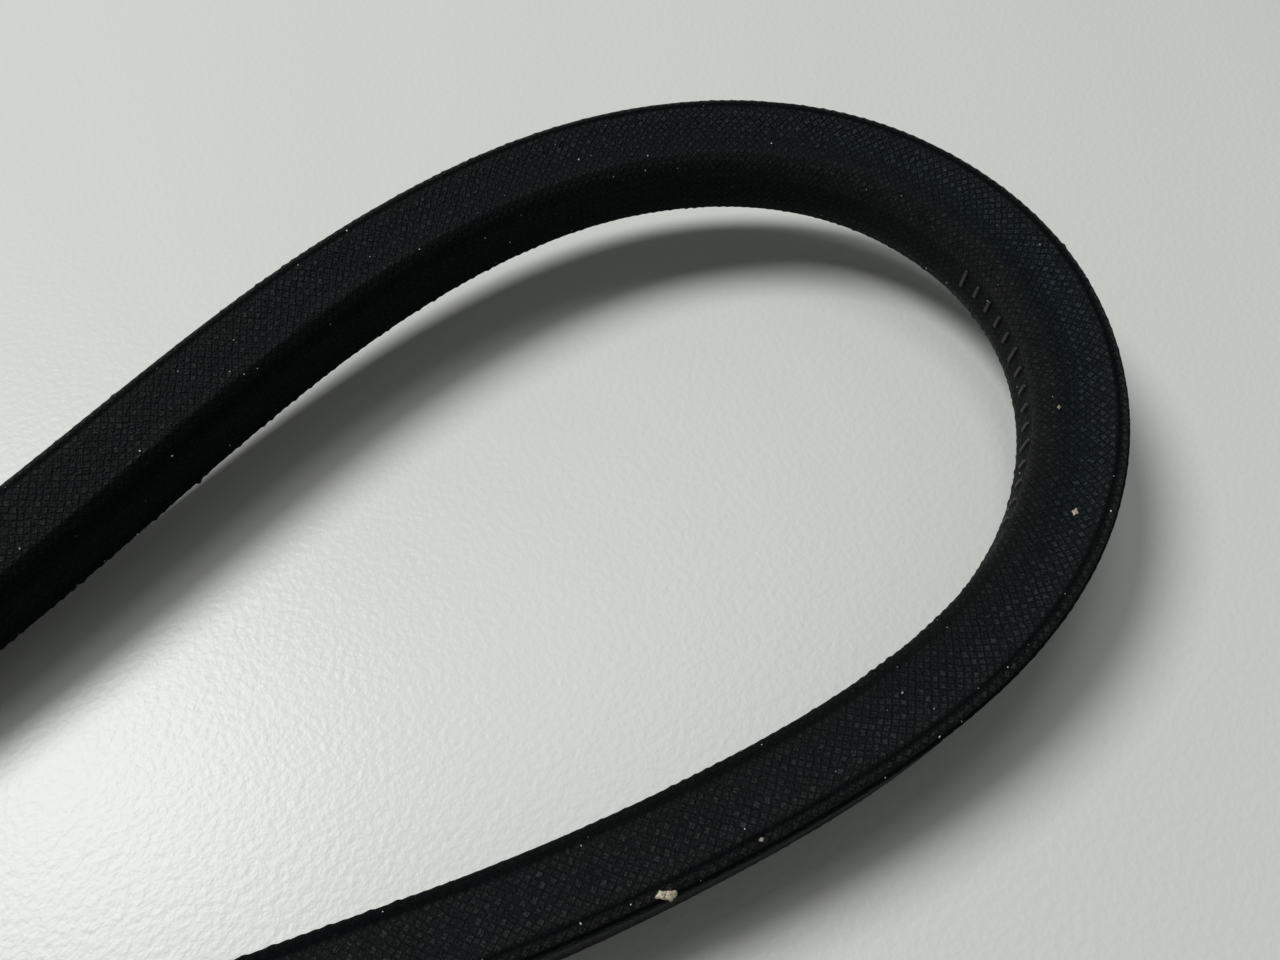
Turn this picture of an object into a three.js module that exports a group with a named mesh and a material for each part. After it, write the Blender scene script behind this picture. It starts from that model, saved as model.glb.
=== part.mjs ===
// A wrapped classical V belt, section A, lying at rest on one flank.
// Millimetres, +Z up. The belt is a closed loop; every layer of it is swept along
// one shared route, so the layers nest inside one another all the way round.

import * as THREE from 'three';
import { mergeVertices } from 'three/addons/utils/BufferGeometryUtils.js';

// ---------------------------------------------------------------- driving dimensions

const TOP_WIDTH = 13;              // back of the belt, across both flanks
const BELT_HEIGHT = 8;             // inner face to back
const FLANK_ANGLE = degrees(20);   // each flank, half of the 40 degree wedge
const PITCH_HEIGHT = 5.25;         // cord line above the inner face
const PITCH_LENGTH = 719;          // length of the cord line, once round

const BACK_CORNER_RADIUS = 1.0;    // where the cover turns from back to flank
const INNER_CORNER_RADIUS = 0.9;   // where it turns from flank to inner face

const PLY_THICKNESS = 0.45;        // one ply of rubberised cover fabric
const PLY_GAP = 0.05;              // between the two plies
const CORE_CLEARANCE = 0.1;        // between the inner ply and the rubber core
const LAP_GAP = 0.12;              // slit between the two edges of a lapped ply
const LAP_LENGTH = 2.2;            // how far the bevelled edges overlap
const OUTER_LAP_PLACE = 3.6;       // across the back, from the middle of the belt
const INNER_LAP_PLACE = -1.2;

const CORD_DIAMETER = 0.9;
const CORD_SPACING = 1.1;          // from one cord to the next, across the belt
const CORD_TURNS = 3;              // each cord winds this often round the loop
const CORD_SIDES = 6;
const GUM_THICKNESS = 0.5;         // adhesion gum above and below the cords
const LAYER_GAP = 0.06;

// The cord line in plan, as control points of a smooth closed curve. The loop is
// drawn in at its waist, and its far half is close to its near half turned round.
const ROUTE_POINTS = [
  [42, 20.9], [67.9, 28.2], [91.5, 35.1], [116.9, 37.5], [138.7, 32.3], [156.8, 16.8], [161.1, -8.7],
  [147, -28.9], [125.1, -36.9], [99.3, -35], [75, -30.1], [48.9, -21.9], [18.5, -19.5], [-13.5, -19.5],
  [-40, -24.5], [-66.5, -29.5], [-93, -34.5], [-118, -37.5], [-139, -32], [-157, -16.5], [-161, 9],
  [-147, 29.5], [-125, 37.5], [-100.5, 35.5], [-74, 30], [-47.5, 24.5], [-21, 19], [11.8, 17.3],
];

// One long side of the near end stands clear of the surface, as a sheet of paper does
// that has been rolled up a little along one edge.
const RAISE_HEADING = degrees(56.5);  // direction in plan in which the belt rises
const RAISE_START = 7;                // from the loop's middle, along that heading
const RAISE_BEND_RADIUS = 200;
const RAISE_ANGLE = degrees(4.2);

const TURN_PER_STATION = degrees(13); // a new cross-section at least this often
const LEAST_STEPS_PER_SPAN = 2;

function degrees(angle) {
  return THREE.MathUtils.degToRad(angle);
}

// ---------------------------------------------------------------- route

// Uniform cubic B-spline round a closed list of control points.
class ClosedSpline extends THREE.Curve {
  constructor(points) {
    super();
    this.points = points;
  }

  controls(span) {
    const count = this.points.length;
    return [0, 1, 2, 3].map((offset) => this.points[(span + offset) % count]);
  }

  blend(span, weights) {
    const sum = new THREE.Vector2();
    this.controls(span).forEach((point, i) => sum.addScaledVector(point, weights[i]));
    return sum;
  }

  at(span, t) {
    const s = 1 - t;
    const first = (s * s * s) / 6;
    const second = (3 * t * t * t - 6 * t * t + 4) / 6;
    const third = (3 * s * s * s - 6 * s * s + 4) / 6;
    const fourth = (t * t * t) / 6;
    return this.blend(span, [first, second, third, fourth]);
  }

  headingAt(span, t) {
    const s = 1 - t;
    const first = -(s * s) / 2;
    const second = (3 * t * t - 4 * t) / 2;
    const third = -(3 * s * s - 4 * s) / 2;
    const fourth = (t * t) / 2;
    return this.blend(span, [first, second, third, fourth]).normalize();
  }

  getPoint(t, target = new THREE.Vector2()) {
    const place = (t % 1) * this.points.length;
    const span = Math.floor(place);
    return target.copy(this.at(span, place - span));
  }
}

function makeRoute() {
  const points = ROUTE_POINTS.map(([x, y]) => new THREE.Vector2(x, y));
  const drawn = new ClosedSpline(points);
  drawn.arcLengthDivisions = 2000;
  const scale = PITCH_LENGTH / drawn.getLength();
  return new ClosedSpline(points.map((point) => point.multiplyScalar(scale)));
}

// Stations: where a cross-section stands, and which way is outward there.
function makeStations(route) {
  const stations = [];
  for (let span = 0; span < route.points.length; span += 1) {
    const turn = Math.abs(signedAngle(route.headingAt(span, 0), route.headingAt(span, 1)));
    const steps = Math.max(LEAST_STEPS_PER_SPAN, Math.ceil(turn / TURN_PER_STATION));
    for (let step = 0; step < steps; step += 1) {
      const heading = route.headingAt(span, step / steps);
      stations.push({
        place: route.at(span, step / steps),
        outward: new THREE.Vector2(-heading.y, heading.x),
      });
    }
  }
  return stations;
}

function signedAngle(from, to) {
  return Math.atan2(from.cross(to), from.dot(to));
}

const route = makeRoute();
const stations = makeStations(route);

// A point given outward of the cord line and across the belt, at one station.
// Across is measured up from the belt's middle plane.
function placeInLoop(station, outward, across) {
  const plan = station.place.clone().addScaledVector(station.outward, outward);
  return raise(new THREE.Vector3(plan.x, plan.y, across));
}

// Rolls the flat loop up along RAISE_HEADING without stretching it.
function raise(point) {
  const east = Math.cos(RAISE_HEADING);
  const north = Math.sin(RAISE_HEADING);
  const along = point.x * east + point.y * north;
  const aside = point.y * east - point.x * north;
  const past = along - RAISE_START;
  const angle = THREE.MathUtils.clamp(past / RAISE_BEND_RADIUS, 0, RAISE_ANGLE);
  const straight = past - angle * RAISE_BEND_RADIUS;
  const newAlong = RAISE_START + RAISE_BEND_RADIUS * Math.sin(angle)
    + straight * Math.cos(angle) - point.z * Math.sin(angle);
  const newHeight = RAISE_BEND_RADIUS * (1 - Math.cos(angle))
    + straight * Math.sin(angle) + point.z * Math.cos(angle);
  return new THREE.Vector3(
    newAlong * east - aside * north,
    newAlong * north + aside * east,
    newHeight,
  );
}

// ---------------------------------------------------------------- cross-sections

// Half the belt's width at a height above its inner face, drawn in by an inset.
function halfWidth(height, inset = 0) {
  const fromBack = (BELT_HEIGHT - height) * Math.tan(FLANK_ANGLE);
  return TOP_WIDTH / 2 - fromBack - inset / Math.cos(FLANK_ANGLE);
}

// Trapezoid between two heights, as corners [across, height], counter-clockwise.
function trapezoid(low, high, inset) {
  return [
    [-halfWidth(low, inset), low],
    [halfWidth(low, inset), low],
    [halfWidth(high, inset), high],
    [-halfWidth(high, inset), high],
  ].map(([across, height]) => new THREE.Vector2(across, height));
}

// The same corners, each replaced by an arc of its own radius.
function roundCorners(corners, radii, segments) {
  return corners.flatMap((corner, i) => {
    const radius = radii[i];
    if (radius <= 0) {
      return [corner];
    }
    const before = corners.at(i - 1).clone().sub(corner).normalize();
    const after = corners[(i + 1) % corners.length].clone().sub(corner).normalize();
    const halfAngle = Math.acos(before.dot(after)) / 2;
    const middle = before.clone().add(after).normalize();
    const centre = corner.clone().addScaledVector(middle, radius / Math.sin(halfAngle));
    const reach = radius / Math.tan(halfAngle);
    const from = corner.clone().addScaledVector(before, reach).sub(centre).angle();
    const sweep = Math.PI - 2 * halfAngle;
    return Array.from({ length: segments + 1 }, (_, step) => {
      const angle = from + (sweep * step) / segments;
      const arm = new THREE.Vector2(Math.cos(angle), Math.sin(angle));
      return centre.clone().addScaledVector(arm, radius);
    });
  });
}

// Outline of the whole belt drawn in by an inset, with its corners rounded.
function beltOutline(inset, segments) {
  const corners = trapezoid(inset, BELT_HEIGHT - inset, inset);
  const inner = Math.max(0, INNER_CORNER_RADIUS - inset);
  const back = Math.max(0, BACK_CORNER_RADIUS - inset);
  return roundCorners(corners, [inner, inner, back, back], segments);
}

// One ply of the cover: a band all round the core, with a bevelled slit across
// the back where its two edges lap.
function plySection(inset, lapPlace, outerSegments, innerSegments) {
  const outside = beltOutline(inset, outerSegments);
  const inside = beltOutline(inset + PLY_THICKNESS, innerSegments);
  const back = BELT_HEIGHT - inset;
  const under = back - PLY_THICKNESS;
  return [
    new THREE.Vector2(lapPlace - LAP_GAP, back),
    ...outside.slice(outside.length - outerSegments - 1),
    ...outside.slice(0, outside.length - outerSegments - 1),
    new THREE.Vector2(lapPlace, back),
    new THREE.Vector2(lapPlace - LAP_LENGTH, under),
    ...inside.slice(0, inside.length - innerSegments - 1).reverse(),
    ...inside.slice(inside.length - innerSegments - 1).reverse(),
    new THREE.Vector2(lapPlace - LAP_LENGTH - LAP_GAP, under),
  ];
}

// ---------------------------------------------------------------- sweeping

// Closed body from a run of rings with the same number of points each.
function skinRings(rings, closed) {
  const sides = rings[0].length;
  const positions = rings.flat().flatMap((point) => point.toArray());
  const faces = [];
  const lastRing = closed ? rings.length : rings.length - 1;
  for (let ring = 0; ring < lastRing; ring += 1) {
    const here = ring * sides;
    const next = ((ring + 1) % rings.length) * sides;
    for (let side = 0; side < sides; side += 1) {
      const other = (side + 1) % sides;
      faces.push(here + side, next + side, here + other);
      faces.push(here + other, next + side, next + other);
    }
  }
  if (!closed) {
    const end = (rings.length - 1) * sides;
    for (let side = 1; side < sides - 1; side += 1) {
      faces.push(0, side, side + 1);
      faces.push(end, end + side + 1, end + side);
    }
  }
  const geometry = new THREE.BufferGeometry();
  geometry.setAttribute('position', new THREE.Float32BufferAttribute(positions, 3));
  geometry.setIndex(faces);
  return mergeVertices(geometry);
}

// A layer that keeps the same cross-section all the way round.
function sweepLayer(section) {
  const rings = stations.map((station) => section.map(
    (point) => placeInLoop(station, point.y - PITCH_HEIGHT, point.x),
  ));
  return skinRings(rings, true);
}

// A cord wound as a flat helix on the cord line, with two cut ends.
function windCord(startAcross) {
  const rings = [];
  for (let step = 0; step <= CORD_TURNS * stations.length; step += 1) {
    const station = stations[step % stations.length];
    const across = startAcross + (2 * CORD_SPACING * step) / stations.length;
    rings.push(Array.from({ length: CORD_SIDES }, (_, side) => {
      const angle = (2 * Math.PI * side) / CORD_SIDES;
      const outward = (CORD_DIAMETER / 2) * Math.sin(angle);
      return placeInLoop(station, outward, across + (CORD_DIAMETER / 2) * Math.cos(angle));
    }));
  }
  return skinRings(rings, false);
}

// ---------------------------------------------------------------- finishes

const finishes = {
  coverFabric: new THREE.MeshStandardMaterial({ color: 0x1b1c1e, roughness: 0.8, metalness: 0 }),
  innerFabric: new THREE.MeshStandardMaterial({ color: 0x232120, roughness: 0.85, metalness: 0 }),
  rubber: new THREE.MeshStandardMaterial({ color: 0x121213, roughness: 0.7, metalness: 0 }),
  gum: new THREE.MeshStandardMaterial({ color: 0x1d1a17, roughness: 0.6, metalness: 0 }),
  cord: new THREE.MeshStandardMaterial({ color: 0xb9a57e, roughness: 0.75, metalness: 0 }),
};

function part(name, geometry, material) {
  const mesh = new THREE.Mesh(geometry, material);
  mesh.name = name;
  return mesh;
}

// ---------------------------------------------------------------- cover

const outerCoverPly = part(
  'outer_cover_ply',
  sweepLayer(plySection(0, OUTER_LAP_PLACE, 2, 1)),
  finishes.coverFabric,
);

const innerCoverPly = part(
  'inner_cover_ply',
  sweepLayer(plySection(PLY_THICKNESS + PLY_GAP, INNER_LAP_PLACE, 1, 1)),
  finishes.innerFabric,
);

// ---------------------------------------------------------------- core

const coreInset = 2 * PLY_THICKNESS + PLY_GAP + CORE_CLEARANCE;
const cordTop = PITCH_HEIGHT + CORD_DIAMETER / 2;
const cordBottom = PITCH_HEIGHT - CORD_DIAMETER / 2;
const upperGumLow = cordTop + LAYER_GAP;
const upperGumHigh = upperGumLow + GUM_THICKNESS;
const lowerGumHigh = cordBottom - LAYER_GAP;
const lowerGumLow = lowerGumHigh - GUM_THICKNESS;

function coreLayer(name, low, high, finish) {
  return part(name, sweepLayer(trapezoid(low, high, coreInset)), finish);
}

const tensionRubber = coreLayer(
  'tension_rubber', upperGumHigh + LAYER_GAP, BELT_HEIGHT - coreInset, finishes.rubber,
);
const upperAdhesionGum = coreLayer('upper_adhesion_gum', upperGumLow, upperGumHigh, finishes.gum);
const lowerAdhesionGum = coreLayer('lower_adhesion_gum', lowerGumLow, lowerGumHigh, finishes.gum);
const compressionRubber = coreLayer(
  'compression_rubber', coreInset, lowerGumLow - LAYER_GAP, finishes.rubber,
);

const cordRun = CORD_SPACING * (2 * CORD_TURNS + 1);
const sTwistCord = part('tensile_cord_s_twist', windCord(-cordRun / 2), finishes.cord);
const zTwistCord = part('tensile_cord_z_twist', windCord(-cordRun / 2 + CORD_SPACING), finishes.cord);

// ---------------------------------------------------------------- assembly

const belt = new THREE.Group();
belt.add(
  outerCoverPly,
  innerCoverPly,
  tensionRubber,
  upperAdhesionGum,
  sTwistCord,
  zTwistCord,
  lowerAdhesionGum,
  compressionRubber,
);

// Stands the belt on z = 0, centred over the origin.
const extent = new THREE.Box3().setFromObject(belt);
const middle = extent.getCenter(new THREE.Vector3());
belt.position.set(-middle.x, -middle.y, -extent.min.z);

export default belt;
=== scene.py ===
# %% [markdown]
# # A wrapped V belt, section A, lying on one flank
# A V belt is a rubber wedge with cords in it, wrapped in rubberised fabric that is cut on the
# bias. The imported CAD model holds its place, its size and its layers. Here the outer ply of the
# cover gets its real surface: worn corners, the lap on the back, flanks that draw in where the
# belt turns, and threads. Everything is in metres.

import math
import random

import bpy
import numpy as np
from mathutils import Matrix, Vector


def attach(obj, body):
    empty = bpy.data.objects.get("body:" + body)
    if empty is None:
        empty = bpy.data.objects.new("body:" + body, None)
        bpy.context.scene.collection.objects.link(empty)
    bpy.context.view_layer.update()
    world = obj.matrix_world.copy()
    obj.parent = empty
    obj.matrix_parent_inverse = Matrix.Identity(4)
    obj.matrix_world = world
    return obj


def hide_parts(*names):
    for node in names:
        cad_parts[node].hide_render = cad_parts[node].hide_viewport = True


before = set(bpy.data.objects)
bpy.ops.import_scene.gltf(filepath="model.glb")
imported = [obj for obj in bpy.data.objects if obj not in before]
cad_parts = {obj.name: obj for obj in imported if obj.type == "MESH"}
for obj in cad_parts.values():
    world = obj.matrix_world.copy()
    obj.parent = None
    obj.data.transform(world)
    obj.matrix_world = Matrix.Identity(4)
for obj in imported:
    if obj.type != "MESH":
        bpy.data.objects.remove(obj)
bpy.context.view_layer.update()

MM = 0.001

# %% [markdown]
# ## The belt's section
# On the real belt the section is a wedge: 13 mm across the back, 8 mm high, with flanks that lean
# in by 20 degrees. The cords lie 5.25 mm above the inner face. The section could be drawn as a
# curve and swept, but then its corners would be as smooth as a hose. It is drawn as a list of
# points instead, each with a part to play, so that each corner can be worn on its own.

# %% Section sizes, in millimetres
TOP_WIDTH = 13.0
BELT_HEIGHT = 8.0
FLANK_ANGLE = math.radians(20)
CORD_HEIGHT = 5.25
BACK_CORNER = 1.0      # radius between back and flank
INNER_CORNER = 1.8     # radius between flank and inner face
LAP_PLACE = 3.6        # where the cover's free edge lies, across the back
LAP_STEP = 0.14        # how far that edge stands up
CREASE = 0.10          # depth of the creases beside the worn corner
PLY_THICKNESS = 0.42   # one ply of the cover
EDGE_RIDGE = 0.04      # how far the back stands up beside its corner
EDGE_SWELL = 0.03      # how far the flank stands out beside its corner
FLANK_STOPS = (2.7, 3.8, 4.9, 6.0, 6.8)   # distances down the flank
INNER_TURNS = (20, 38, 55, 72, 90)        # degrees round the inner corner


# %% Draw one side of the section
def on_corner(radius, turn, raised=0.0):
    """A point on a rounded corner, turned up from level, as (across, height)."""
    height = BELT_HEIGHT - radius if turn > -20 else radius
    middle = TOP_WIDTH / 2 - (BELT_HEIGHT - height) * math.tan(FLANK_ANGLE)
    middle -= radius / math.cos(FLANK_ANGLE)
    turn = math.radians(turn)
    reach = radius + raised
    return middle + reach * math.cos(turn), height + reach * math.sin(turn)


def on_flank(down, raised=0.0):
    """A point on the flank, down from the sharp outer corner."""
    across = TOP_WIDTH / 2 - down * math.sin(FLANK_ANGLE) + raised * math.cos(FLANK_ANGLE)
    return across, BELT_HEIGHT - down * math.cos(FLANK_ANGLE) - raised * math.sin(FLANK_ANGLE)


def one_side(lapped):
    """Points from beside the middle of the back round to beside the middle of the inner face."""
    drop = LAP_STEP if lapped else 0.0
    return [
        ((1.9, BELT_HEIGHT), "back"),
        ((LAP_PLACE - 0.12, BELT_HEIGHT), "back"),
        ((LAP_PLACE, BELT_HEIGHT - drop), "back"),
        ((4.95, BELT_HEIGHT - 0.02), "back"),
        (on_corner(BACK_CORNER, 72, EDGE_RIDGE), "edge ridge"),
        (on_corner(BACK_CORNER, 56, -CREASE), "crease"),
        (on_corner(BACK_CORNER, 36), "outer corner"),
        (on_corner(BACK_CORNER, 10), "outer corner"),
        (on_corner(BACK_CORNER, -12, -CREASE), "crease"),
        (on_flank(1.75, EDGE_SWELL), "flank edge"),
        *((on_flank(down), "flank") for down in FLANK_STOPS),
        *((on_corner(INNER_CORNER, -turn), "inner corner") for turn in INNER_TURNS),
        ((1.15, 0.0), "inner face"),
    ]


def whole_section():
    """The section's points and the part each plays, starting at the lap."""
    upper, lower = one_side(lapped=True), one_side(lapped=False)
    ring = [((0.0, BELT_HEIGHT), "back")] + upper + [((0.0, 0.0), "inner face")]
    ring += [((-across, height), part) for (across, height), part in reversed(lower)]
    first = [place[0] for place, _ in ring].index(LAP_PLACE)
    ring = ring[first:] + ring[:first]
    yz = np.array([(height - CORD_HEIGHT, across) for (across, height), _ in ring]) * MM
    return yz, np.array([part for _, part in ring])


section_yz, part_of_column = whole_section()
column_count = len(section_yz)
print("section:", column_count, "points")

# %% [markdown]
# ## The route of the belt
# The belt lies in a long loop that closes in to a waist and opens to a bend of about 27 mm radius
# at each end. Two ways to make that: sweep the section along a curve, or model the belt straight
# and bend it. Bending is used here, because on the straight belt every thread, crumb and fibre
# is easy to place, and one Curve modifier then takes them all round together.

# %% Draw the route
ROUTE_SCALE = 0.9992172684844475
ROUTE_POINTS = [
    (42, 20.9), (67.9, 28.2), (91.5, 35.1), (116.9, 37.5), (138.7, 32.3), (156.8, 16.8),
    (161.1, -8.7), (147, -28.9), (125.1, -36.9), (99.3, -35), (75, -30.1), (48.9, -21.9),
    (18.5, -19.5), (-13.5, -19.5), (-40, -24.5), (-66.5, -29.5), (-93, -34.5), (-118, -37.5),
    (-139, -32), (-157, -16.5), (-161, 9), (-147, 29.5), (-125, 37.5), (-100.5, 35.5),
    (-74, 30), (-47.5, 24.5), (-21, 19), (11.8, 17.3),
]

curve = bpy.data.curves.new("route", "CURVE")
curve.dimensions = "3D"
curve.twist_mode = "Z_UP"
curve.resolution_u = 64
spline = curve.splines.new("NURBS")
spline.points.add(len(ROUTE_POINTS) - 1)
for point, (x, y) in zip(spline.points, ROUTE_POINTS):
    point.co = (x * ROUTE_SCALE * MM, y * ROUTE_SCALE * MM, 0, 1)
spline.order_u = 4
spline.use_cyclic_u = True
route = bpy.data.objects.new("route", curve)
bpy.context.scene.collection.objects.link(route)

# %% Measure the route: its length, and how sharply it turns at each place
AVERAGED_OVER = 41     # points, so that the turning has no steps
route_mesh = route.evaluated_get(bpy.context.evaluated_depsgraph_get()).to_mesh()
track = np.array([vertex.co[:2] for vertex in route_mesh.vertices])
steps = np.roll(track, -1, 0) - track
step_lengths = np.linalg.norm(steps, axis=1)
route_length = float(step_lengths.sum())
track_places = np.concatenate([[0], np.cumsum(step_lengths)[:-1]])
headings = np.unwrap(np.arctan2(steps[:, 1], steps[:, 0]))
turning = -np.gradient(headings, track_places)
average = np.ones(AVERAGED_OVER) / AVERAGED_OVER
turning = np.convolve(np.tile(turning, 3), average, "same")[len(track):2 * len(track)]
print("route length", round(route_length / MM, 3), "mm, first point", track[0] / MM)
print("tightest bend radius", round(1 / turning.max() / MM, 1), "mm")

# %% [markdown]
# ## Bending and lifting
# Two helpers serve every piece of the cover. The first sends a straight piece round the route.
# The second rolls the flat loop up a little: one long side of the near end stands clear of the
# surface, as a sheet of paper does that has been rolled up along one edge. A lattice could lift
# it too, but a roll keeps every length, as a real belt does, and the CAD model is lifted by the
# same formula with the same numbers.


# %% Helpers for choosing a piece and for its points
def choose(piece):
    """Leaves only this piece selected and active."""
    if bpy.context.object and bpy.context.object.mode != "OBJECT":
        bpy.ops.object.mode_set(mode="OBJECT")
    bpy.ops.object.select_all(action="DESELECT")
    piece.select_set(True)
    bpy.context.view_layer.objects.active = piece


def read_points(piece):
    """The piece's vertices as an array of x, y, z."""
    points = np.empty(len(piece.data.vertices) * 3, np.float32)
    piece.data.vertices.foreach_get("co", points)
    return points.reshape(-1, 3).astype(float)


def write_points(piece, points):
    """Gives the piece's vertices these places, from an array of x, y, z."""
    piece.data.vertices.foreach_set("co", points.astype(np.float32).ravel())
    piece.data.update()


# %% Helpers for bending and lifting
RAISE_HEADING = math.radians(56.5)
RAISE_START = 7 * MM
RAISE_RADIUS = 200 * MM
RAISE_ANGLE = math.radians(4.2)
LOOP_MIDDLE = (0.04913330078125 * MM, 0.139923095703125 * MM)
LOWEST = -6.011544704437256 * MM


def bend_round_route(piece):
    """Bends a piece that lies straight along X round the route."""
    choose(piece)
    bend = piece.modifiers.new("bend round the route", "CURVE")
    bend.object = route
    bend.deform_axis = "POS_X"
    bpy.ops.object.modifier_apply(modifier=bend.name)


def lift_near_end(piece):
    """Rolls the flat loop up along its heading and sets it down on the surface."""
    east, north = math.cos(RAISE_HEADING), math.sin(RAISE_HEADING)
    x, y, z = read_points(piece).T
    past = x * east + y * north - RAISE_START
    aside = y * east - x * north
    angle = np.clip(past / RAISE_RADIUS, 0, RAISE_ANGLE)
    straight = past - angle * RAISE_RADIUS
    ahead = RAISE_START + RAISE_RADIUS * np.sin(angle) + straight * np.cos(angle)
    ahead -= z * np.sin(angle)
    height = RAISE_RADIUS * (1 - np.cos(angle)) + straight * np.sin(angle) + z * np.cos(angle)
    placed = np.stack([ahead * east - aside * north, ahead * north + aside * east, height], 1)
    placed -= np.array([*LOOP_MIDDLE, LOWEST])
    write_points(piece, placed)


# %% [markdown]
# ## The outer ply of the cover
# The ply is a strip of bias-cut cloth wrapped round the wedge, and at the corners the crowns of
# its threads stand out like small teeth. One bite of the belt, as long as one tooth, is extruded
# from the section, and an Array modifier repeats it for the whole length. Sculpting the teeth
# one by one would look no different and take a day.

# %% Extrude one bite and repeat it
BITE_COUNT = 654
STEPS_PER_BITE = 3
STATION_COUNT = BITE_COUNT * STEPS_PER_BITE
NEAR = 0.01 * MM       # points closer than this are at one place


def straight_belt(name, ring_yz, bites, steps_in_bite):
    """A straight tube with this section, as long as the route."""
    bite_length = route_length / bites
    bpy.ops.object.select_all(action="DESELECT")
    bpy.ops.mesh.primitive_circle_add(vertices=len(ring_yz), radius=0.01)
    tube = bpy.context.object
    tube.name = tube.data.name = name
    for vertex, (y, z) in zip(tube.data.vertices, ring_yz):
        vertex.co = (0, y, z)
    bpy.ops.object.mode_set(mode="EDIT")
    bpy.ops.mesh.select_all(action="SELECT")
    for _ in range(steps_in_bite):
        bpy.ops.mesh.extrude_region_move(
            TRANSFORM_OT_translate={"value": (bite_length / steps_in_bite, 0, 0)}
        )
    bpy.ops.object.mode_set(mode="OBJECT")
    repeat = tube.modifiers.new("repeat the bite", "ARRAY")
    repeat.count = bites
    repeat.use_relative_offset = False
    repeat.use_constant_offset = True
    repeat.constant_offset_displace = (bite_length, 0, 0)
    repeat.use_merge_vertices = True
    repeat.merge_threshold = NEAR
    choose(tube)
    bpy.ops.object.modifier_apply(modifier=repeat.name)
    return tube


cover = straight_belt("cover_ply_lapped", section_yz, BITE_COUNT, STEPS_PER_BITE)
print("cover:", len(cover.data.vertices), "vertices before bending")

# %% Which station and which point of the section each vertex belongs to
straight = read_points(cover)
station = np.rint(straight[:, 0] / route_length * STATION_COUNT).astype(int)
column = ((straight[:, None, 1:] - section_yz[None]) ** 2).sum(2).argmin(1)
part = part_of_column[column]
wrapped = station % STATION_COUNT
print("stations", station.max() + 1, "columns", column.max() + 1)


# %% Outward direction at each point of the section
def outward_of(ring_yz):
    """The direction away from the belt at each point of a section."""
    chord = np.roll(ring_yz, -1, 0) - np.roll(ring_yz, 1, 0)
    outward = np.stack([chord[:, 1], -chord[:, 0]], 1)
    outward /= np.linalg.norm(outward, axis=1)[:, None]
    return outward if (outward * ring_yz).sum() > 0 else -outward


outward_yz = outward_of(section_yz)

# %% [markdown]
# ## Teeth, dents and drawn-in flanks
# Three things move the surface along its own normal. The thread crowns make teeth on the four
# corners, larger on the inner ones. Handling leaves slow waves in the rubber. And where the belt
# turns, the middle of each flank is drawn in, by less than the ply is thick, and both edges swell.
# Sculpting could do all three by hand. Formulas do them here, because the depths then follow how
# sharply the route turns.


# %% Helpers for smooth shapes
def hump(height, middle, reach):
    """One at the middle height and less the further from it, all in millimetres."""
    return np.exp(-((height - middle) / reach) ** 2)


rng = np.random.default_rng(27)


def slow_waves(count, knots):
    """Smooth random values round the loop, about -1 to 1."""
    values = rng.uniform(-1, 1, knots)
    places = np.arange(count) / count * knots
    first = np.floor(places).astype(int)
    share = (1 - np.cos((places - first) * math.pi)) / 2
    return values[first % knots] * (1 - share) + values[(first + 1) % knots] * share


# %% Draw the flanks in and swell their edges
DRAWN_IN = 0.30 * MM
SWOLLEN = 0.26 * MM
TIGHT_RADIUS = 30 * MM        # a bend of this radius has the whole effect
DRAWN_HEIGHT, DRAWN_REACH = 4.2, 1.5            # above the inner face, in millimetres
INNER_EDGE_HEIGHT, INNER_EDGE_REACH = 1.4, 1.0
OUTER_EDGE_HEIGHT, OUTER_EDGE_REACH = 6.7, 0.9
OUTER_EDGE_SHARE = 0.7        # the outer edge swells less than the inner one
station_places = np.arange(STATION_COUNT) / STATION_COUNT * route_length
turn_at_station = np.interp(station_places, track_places, turning) * TIGHT_RADIUS
on_flank_share = np.clip((np.abs(section_yz[:, 1]) / MM - 1.6) / 0.8, 0, 1)
height_of_column = section_yz[:, 0] / MM + CORD_HEIGHT
draw = hump(height_of_column, DRAWN_HEIGHT, DRAWN_REACH) * on_flank_share
outer_swell = OUTER_EDGE_SHARE * hump(height_of_column, OUTER_EDGE_HEIGHT, OUTER_EDGE_REACH)
swell = hump(height_of_column, INNER_EDGE_HEIGHT, INNER_EDGE_REACH) + outer_swell
swell *= on_flank_share
move = turn_at_station[wrapped] * (SWOLLEN * swell[column] - DRAWN_IN * draw[column])
print("bends move the surface from", round(move.min() / MM, 2), "to", round(move.max() / MM, 2))

# %% Raise the teeth and press the dents
TOOTH_SHAPE = np.array([0.0, 1.0, 0.35])        # along one bite
TOOTH_HEIGHT = {"inner corner": 0.12 * MM, "outer corner": 0.07 * MM, "edge ridge": 0.04 * MM}
TOOTH_WAVES, DENT_WAVES = 90, 110               # slow waves round the loop
COARSE_ABOVE, COARSE_GAIN = 0.96, 1.3           # one thread in 25 is a coarse one
DENT_DEPTH = 0.03 * MM
for side in (-1, 1):
    for name, tooth in TOOTH_HEIGHT.items():
        per_bite = 0.75 + 0.6 * rng.uniform(-1, 1, BITE_COUNT)
        per_bite *= 0.75 + 0.5 * slow_waves(BITE_COUNT, TOOTH_WAVES)
        per_bite *= 1 + COARSE_GAIN * (rng.random(BITE_COUNT) > COARSE_ABOVE)
        teeth = tooth * np.repeat(per_bite, STEPS_PER_BITE) * np.tile(TOOTH_SHAPE, BITE_COUNT)
        here = (part == name) & (np.sign(straight[:, 2]) == side)
        move[here] += teeth[wrapped[here]]
for name in ("flank", "flank edge", "inner face", "back", "crease"):
    wave = slow_waves(STATION_COUNT, DENT_WAVES)
    here = part == name
    move[here] += DENT_DEPTH * wave[wrapped[here]]
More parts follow.
